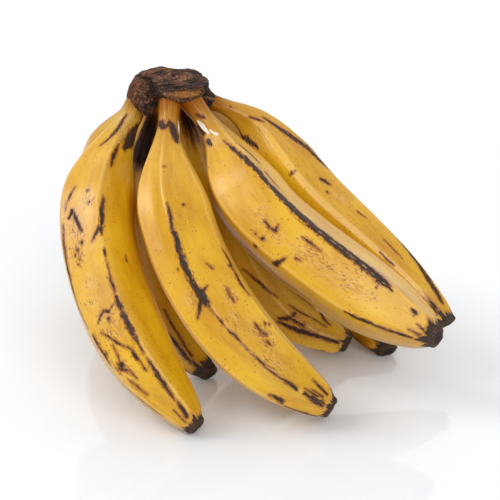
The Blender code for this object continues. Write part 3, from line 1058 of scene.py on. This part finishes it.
def make_peel():
    """Ripe plantain peel: a waxy, satin yellow skin whose bruises and rubbed ridges dry to brown and black.

    It gives a broad soft gloss, fine brown freckles, fibres that run along the fruit and ragged dark streaks,
    with painted shade between the fruits and under the crown, and a painted highlight along the ridges.
    """
    material, tree, output = new_material("ripe_plantain_peel")
    names = ("streak", "streak_width", "scuff", "bruise_and_shade", "gap_shade", "tear", "crack", "ridge", "tip_black",
             "cork", "hollow", "from_crown", "green")
    value = {label: node(tree, "ShaderNodeAttribute", attribute_name=label).outputs["Fac"] for label in names}
    place = node(tree, "ShaderNodeAttribute", attribute_name="straight").outputs["Vector"]  # in mm
    drawn_out, drawn_some = (
        node(tree, "ShaderNodeMapping", {"Vector": place, "Scale": (1.0, 1.0, squeeze)}).outputs["Vector"]
        for squeeze in (0.10, 0.35)
    )

    # Patterns: what each is drawn on, its size in mm, its detail and its roughness.
    patterns = {
        "clouds": (drawn_some, 22.0, 3.0, 0.5),
        "fibres": (drawn_out, 1.6, 4.0, 0.6),
        "patches": (drawn_some, 9.0, 4.0, 0.6),
        "hairs": (drawn_out, 0.9, 4.0, 0.65),
        "mottle": (drawn_some, 2.2, 4.0, 0.65),
        "specks": (drawn_some, 1.1, 3.0, 0.7),
        "ragged": (drawn_some, 1.9, 5.0, 0.7),
        "nibbled": (place, 0.9, 4.0, 0.75),
        "dashes": (drawn_some, 1.3, 4.0, 0.7),
        "tongues": (drawn_some, 4.5, 4.0, 0.5),
        "cork_grit": (place, 2.0, 5.0, 0.7),
    }
    for label, (drawn_on, size, detail, roughness) in patterns.items():
        value[label] = node(tree, "ShaderNodeTexNoise", {
            "Vector": drawn_on, "Scale": 1 / size, "Detail": detail, "Roughness": roughness,
        }).outputs["Fac"]
    freckles = node(tree, "ShaderNodeTexVoronoi", {"Vector": place, "Scale": 1 / 2.3, "Randomness": 1.0})
    dice = node(tree, "ShaderNodeSeparateColor", {"Color": freckles.outputs["Color"]})
    value["freckle_dice"] = dice.outputs["Red"]
    value["freckle_distance"] = freckles.outputs["Distance"]

    work_out(tree, value, {
        # Rubbed wax is paler in a mottle, and specks crowd there and close to the streaks.
        "paleness": ("SPAN", "mottle", 0.36, 0.66, 0.0, 1.0),
        "pale_place": ("MULTIPLY", "paleness", "scuff"),
        "scuff_crowd": ("MULTIPLY_ADD", "scuff", 0.16, "specks"),
        "streak_crowd": ("SPAN", "streak", -6.0, -0.5, 0.0, 0.10),
        "crowd": ("ADD", "streak_crowd", "scuff_crowd"),
        # Freckles of 0.3 to 0.9 mm, one in every 2 to 4 mm.
        "freckle_size": ("SPAN", "freckle_dice", 0.42, 1.0, 0.0, 0.25),
        "freckle_depth": ("SUBTRACT", "freckle_size", "freckle_distance"),
        # Streaks are ragged by 1 mm or so along the fibres, and thin ones by less.
        "ragged_mm": ("SPAN", "ragged", 0.25, 0.75, -1.8, 1.7),
        "nibbled_mm": ("SPAN", "nibbled", 0.25, 0.75, -1.2, 1.2),
        "raggedness": ("ADD", "ragged_mm", "nibbled_mm"),
        "width_share": ("SPAN", "streak_width", 0.0, 2.0, 0.25, 1.1),
        "depth": ("MULTIPLY_ADD", "raggedness", "width_share", "streak"),
        # Cracks are broken into dashes, and torn skin, the bruises with their painted shade and the painted
        # shade between the fruits are patchy at their edges.
        "broken_crack": ("MULTIPLY_ADD", "dashes", 4.0, "crack"),
        "patchy_gap_shade": ("MULTIPLY_ADD", "clouds", 0.5, "gap_shade"),
        "patchy_bruise_and_shade": ("MULTIPLY_ADD", "tongues", 0.9, "bruise_and_shade"),
        "patchy_tear": ("MULTIPLY_ADD", "mottle", 1.6, "tear"),
        # The tip's black and the neck's brown end in tongues a few mm long.
        "tongue_mm": ("SPAN", "tongues", 0.25, 0.75, -5.0, 5.0),
        "tip": ("ADD", "tip_black", "tongue_mm"),
        "from_dry_end": ("SUBTRACT", "from_crown", "tongue_mm"),
    })

    # Yellow, paler and more orange by turns. Streaks char along the fibres and go grey at the core, the tip
    # is cork round a black hollow, and the neck keeps some green.
    yellow = node(tree, "ShaderNodeValToRGB", {"Fac": value["clouds"]},
                  stops=((0.28, "#bf8203"), (0.45, "#cd9606"), (0.58, "#d8a40d"), (0.74, "#e2b31f")))
    char = node(tree, "ShaderNodeValToRGB", {"Fac": value["fibres"]},
                stops=((0.35, "#130a07"), (0.50, "#26150d"), (0.66, "#4a2b17")))
    cork = node(tree, "ShaderNodeValToRGB", {"Fac": value["cork_grit"]},
                stops=((0.36, "#150d09"), (0.48, "#2f1d14"), (0.58, "#503325"), (0.70, "#7c5740")))
    char_tint = paint(tree, value, char.outputs["Color"], {
        "core_shows": ("depth", 1.0, 2.6, 0.7, SOFTLY, "#312823"),
    })
    tip_tint = paint(tree, value, linear("#2c2320"), {
        "cork_shows": ("cork", 0.0, 1.0, 1.0, EVENLY, cork.outputs["Color"]),
        "hollow_shows": ("hollow", 0.0, 1.0, 1.0, EVENLY, "#130b08"),
    })
    neck_tint = paint(tree, value, linear("#ae6f04"), {
        "green_shows": ("green", 0.0, 1.0, 1.0, EVENLY, "#bf9f35"),
    })
    colour = paint(tree, value, yellow.outputs["Color"], {
        "fibre_shows": ("fibres", 0.35, 0.65, 0.28, EVENLY, "#e2ad2a"),
        "patch_shows": ("patches", 0.50, 0.74, 0.50, EVENLY, "#b87707"),
        "hair_shows": ("hairs", 0.60, 0.72, 0.45, EVENLY, "#8f5610"),
        # Paler cords on the ridges, partly their own colour and partly a painted highlight along them.
        "cord_pale_and_highlight_shows": ("ridge", 0.0, 1.0, 0.38, EVENLY, "#edc268"),
        "neck_shows": ("from_crown", 50.0, 12.0, 0.7, SOFTLY, neck_tint),
        "pale_shows": ("pale_place", 0.0, 1.0, 0.60, EVENLY, "#eabf74"),
        "freckle_shows": ("freckle_depth", -0.07, 0.06, 0.7, EVENLY, "#8a4c12"),
        "speck_shows": ("crowd", 0.66, 0.78, 0.80, EVENLY, "#854410"),
        "halo_shows": ("depth", -1.7, 0.2, 0.85, SOFTLY, "#944f0e"),
        "streak_shows": ("depth", -0.35, 0.5, 0.96, SOFTLY, char_tint),
        "crack_shows": ("broken_crack", 2.15, 2.6, 0.8, EVENLY, "#a98860"),
        # Painted shade between the fruits: orange, and brown-black where they all but touch.
        "gap_shade_orange_shows": ("patchy_gap_shade", 0.35, 1.05, 0.75, SOFTLY, "#a55f02"),
        "gap_shade_brown_shows": ("patchy_gap_shade", 1.02, 1.34, 0.85, SOFTLY, "#3a1d09"),
        # Bruised necks, partly painted shade deep in the gaps between the fruits.
        "bruise_and_shade_brown_shows": ("patchy_bruise_and_shade", 0.62, 1.10, 0.90, SOFTLY, "#7a4008"),
        "bruise_and_shade_black_shows": ("patchy_bruise_and_shade", 0.88, 1.36, 0.98, SOFTLY, "#1c0f08"),
        "tip_halo_shows": ("tip", -5.0, 0.5, 0.75, SOFTLY, "#a5691f"),
        "tip_shows": ("tip", -1.0, 1.4, 0.97, SOFTLY, tip_tint),
        # The neck's end dries brown below the crown, darkened further as painted shade under its overhang.
        "dry_end_and_shade_shows": ("from_dry_end", 20.0, 0.0, 0.88, SOFTLY, "#8a4700"),
        "flesh_shows": ("patchy_tear", 0.75, 1.1, 1.0, EVENLY, "#e9dfcb"),
    })

    work_out(tree, value, {
        # Satin wax, dull where it is dry.
        "dull": ("MAXIMUM", "streak_shows", "tip_shows"),
        "satin": ("SPAN", "dull", 0.0, 1.0, 0.29, 0.62),
        "roughness": ("MULTIPLY_ADD", "mottle", 0.16, "satin"),
        # The wax is gone from dried skin, and the gloss is turned down too where shade is painted on the
        # bruises, the necks' ends and between the fruits, as shaded skin mirrors little of the bright
        # surround.
        "dried": ("MAXIMUM", "bruise_and_shade_black_shows", "dry_end_and_shade_shows"),
        "shade_dulls_gloss": ("MULTIPLY", "gap_shade", 0.8),
        "wax_gone_or_shaded": ("MAXIMUM", "dried", "shade_dulls_gloss"),
        "gloss": ("SPAN", "wax_gone_or_shaded", 0.0, 1.0, 0.50, 0.06),
        "wax_gone_shaded_or_dull": ("MAXIMUM", "wax_gone_or_shaded", "dull"),
        "wax": ("SPAN", "wax_gone_shaded_or_dull", 0.0, 1.0, 0.36, 0.0),
        # A fine grain along the fibres, raised freckles and gritty cork.
        "cork_grain": ("MULTIPLY", "cork_grit", "cork"),
        "fibre_grain": ("MULTIPLY_ADD", "cork_grain", 3.0, "fibres"),
        "grain": ("MULTIPLY_ADD", "freckle_shows", 0.4, "fibre_grain"),
    })
    bump = node(tree, "ShaderNodeBump", {"Height": value["grain"], "Strength": 0.35, "Distance": 0.35 * MM})
    shader = node(tree, "ShaderNodeBsdfPrincipled", {
        "Base Color": colour,
        "Roughness": value["roughness"],
        "Normal": bump.outputs["Normal"],
        "IOR": 1.45,
        "Specular IOR Level": value["gloss"],
        "Coat Weight": value["wax"],
        "Coat Roughness": 0.27,
        "Coat IOR": 1.45,
    })
    tree.links.new(shader.outputs["BSDF"], output.inputs["Surface"])
    return material


def make_cork():
    """The dried crown: cut stalk gone to dull brown-black cork, with paler fibres where it is torn."""
    material, tree, output = new_material("dried_crown_cork")
    names = ("fibre", "height", "worn", "bark", "shade_and_dark", "cork_lump", "left_side")
    value = {label: node(tree, "ShaderNodeAttribute", attribute_name=label).outputs["Fac"] for label in names}
    place = node(tree, "ShaderNodeTexCoord").outputs["Object"]  # in metres
    grit = node(tree, "ShaderNodeTexNoise",
                {"Vector": place, "Scale": 1 / (1.6 * MM), "Detail": 6.0, "Roughness": 0.72})
    patches = node(tree, "ShaderNodeTexNoise", {"Vector": place, "Scale": 1 / (9.0 * MM), "Detail": 3.0})
    value["grit"] = grit.outputs["Fac"]
    value["patches"] = patches.outputs["Fac"]

    # Bark cracks, about 4 mm apart and bent by up to 4 mm.
    bent = node(tree, "ShaderNodeVectorMath",
                {0: patches.outputs["Color"], 1: (4.0 * MM, 4.0 * MM, 4.0 * MM), 2: place},
                operation="MULTIPLY_ADD")
    cells = node(tree, "ShaderNodeTexVoronoi", {"Vector": bent.outputs[0], "Scale": 1 / (4.2 * MM)},
                 feature="DISTANCE_TO_EDGE")
    value["to_crack"] = cells.outputs["Distance"]

    work_out(tree, value, {
        "fibre_tone": ("MULTIPLY_ADD", "fibre", 0.16, "grit"),
        "tone": ("MULTIPLY_ADD", "cork_lump", 0.08, "fibre_tone"),
        "redness": ("MULTIPLY_ADD", "left_side", 0.12, "patches"),
        "gritty_wear": ("MULTIPLY_ADD", "grit", 4.0, "worn"),
        "gritty_height": ("MULTIPLY_ADD", "grit", 14.0, "height"),
        "gritty_crack": ("MULTIPLY_ADD", "grit", 0.22, "to_crack"),
        "crack": ("SPAN", "gritty_crack", 0.21, 0.13, 0.0, 0.85),
        "bark_crack": ("MULTIPLY", "crack", "bark"),
        "fibre_grain": ("MULTIPLY_ADD", "fibre", 0.4, "grit"),
        "grain": ("MULTIPLY_ADD", "bark_crack", -0.5, "fibre_grain"),
    })
    browns = ((0.33, "#120b08"), (0.44, "#2f1f17"), (0.54, "#563a2a"), (0.64, "#845d43"), (0.77, "#b08662"))
    brown = node(tree, "ShaderNodeValToRGB", {"Fac": value["tone"]}, stops=browns)
    # Reddish patches, ochre where the ledge is worn and where the cork thins out down the necks, black
    # cracks, and painted shade in the pits, the hollows and along the ledge, with the right of the top
    # darker.
    colour = paint(tree, value, brown.outputs["Color"], {
        "red_shows": ("redness", 0.48, 0.66, 0.42, EVENLY, "#7c4426"),
        "wear_shows": ("gritty_wear", 0.9, 3.2, 0.80, SOFTLY, "#ad7434"),
        "neck_shows": ("gritty_height", 168.5, 160.0, 0.9, SOFTLY, "#a4681a"),
        "crack_shows": ("bark_crack", 0.0, 1.0, 1.0, EVENLY, "#160e0a"),
        "shade_and_dark_shows": ("shade_and_dark", 0.05, 0.35, 0.8, EVENLY, "#150d09"),
    })
    bump = node(tree, "ShaderNodeBump", {"Height": value["grain"], "Strength": 0.8, "Distance": 0.9 * MM})
    shader = node(tree, "ShaderNodeBsdfPrincipled", {
        "Base Color": colour,
        "Roughness": 0.82,
        "Normal": bump.outputs["Normal"],
        "IOR": 1.45,
        "Specular IOR Level": 0.3,
    })
    tree.links.new(shader.outputs["BSDF"], output.inputs["Surface"])
    return material


def make_table():
    """White glossed board under the hand: nearly white, with a faint mirror image."""
    material, tree, output = new_material("white_glossed_board")
    shader = node(tree, "ShaderNodeBsdfPrincipled", {
        "Base Color": linear("#edf0f4"),
        "Roughness": 0.05,
        "IOR": 1.45,
    })
    tree.links.new(shader.outputs["BSDF"], output.inputs["Surface"])
    return material


# ---------------------------------------------------------------- the studio

# Places are in metres here, turns in degrees, and the lens and its sensor in millimetres.
CAMERA_PLACE = (-0.006, -1.0653, 0.5760)
CAMERA_TILT = 65.0
CAMERA_LENS = 124.2
CAMERA_SENSOR = 36.0
FLOOR_HALF = 6.0
SURROUND_FRONT = 0.56
SURROUND_BACK = 1.12
SURROUND_BRIGHT = (0.0, 0.90, 0.43)  # towards the bright part

SOFT_BOXES = {  # the direction towards each, its strength and how many degrees it spans
    "key": ((0.20, -0.76, 0.58), 1.34, 50.0),
    "left_box": ((-0.74, 0.0, 0.64), 1.25, 32.0),
}


def add_soft_box(name, direction, strength, spread):
    """A large soft box a long way off, so that it lights the whole floor evenly."""
    lamp = bpy.data.lights.new(name, "SUN")
    lamp.energy = strength
    lamp.angle = math.radians(spread)
    holder = bpy.data.objects.new(name, lamp)
    bpy.context.scene.collection.objects.link(holder)
    holder.rotation_euler = Vector(direction).to_track_quat("Z", "Y").to_euler()


def make_surround():
    """A white tent: dimmer overhead and in front, and bright behind the hand, where the floor mirrors it."""
    world = bpy.data.worlds.new("surround")
    world.use_nodes = True
    tree = world.node_tree
    toward = node(tree, "ShaderNodeTexCoord").outputs["Generated"]
    behind = node(tree, "ShaderNodeVectorMath", {0: toward, 1: SURROUND_BRIGHT}, operation="DOT_PRODUCT")
    strength = node(tree, "ShaderNodeMapRange", {
        "Value": behind.outputs["Value"], "From Min": 0.45, "From Max": 0.95,
        "To Min": SURROUND_FRONT, "To Max": SURROUND_BACK,
    }, interpolation_type=SOFTLY)
    backdrop = tree.nodes["Background"]
    backdrop.inputs["Color"].default_value = linear("#ffffff")
    tree.links.new(strength.outputs[0], backdrop.inputs["Strength"])
    bpy.context.scene.world = world


def make_studio():
    """Camera, floor, pale surround and soft lights."""
    scene = bpy.context.scene
    camera = bpy.data.cameras.new("camera")
    camera.sensor_width = CAMERA_SENSOR
    camera.lens = CAMERA_LENS
    camera.clip_end = 30.0
    holder = bpy.data.objects.new("camera", camera)
    holder.location = CAMERA_PLACE
    holder.rotation_euler = (math.radians(CAMERA_TILT), 0.0, 0.0)
    scene.collection.objects.link(holder)
    scene.camera = holder

    corners = [(x * FLOOR_HALF, y * FLOOR_HALF, 0.0) for x, y in ((-1, -1), (1, -1), (1, 1), (-1, 1))]
    mesh = bpy.data.meshes.new("floor")
    mesh.from_pydata(corners, [], [(0, 1, 2, 3)])
    mesh.materials.append(make_table())
    floor = bpy.data.objects.new("floor", mesh)
    scene.collection.objects.link(floor)

    make_surround()
    for name, (direction, strength, spread) in SOFT_BOXES.items():
        add_soft_box(name, direction, strength, spread)
    scene.view_settings.view_transform = "Standard"


# ---------------------------------------------------------------- assembly

make_studio()
peel = make_peel()
for order, fruit_name in enumerate(FRUITS):
    fruit_rings, fruit_values = fruit_surface(fruit_name, order + 1)
    fruit_mesh = closed_mesh(fruit_name + "_skin", fruit_rings, fruit_values)
    add_piece(fruit_name + "_skin", fruit_mesh, peel, fruit_name)
crown_rings, crown_values = crown_surface()
crown_mesh = closed_mesh("crown_cork", crown_rings, crown_values)
add_piece("crown_cork", crown_mesh, make_cork(), "crown")
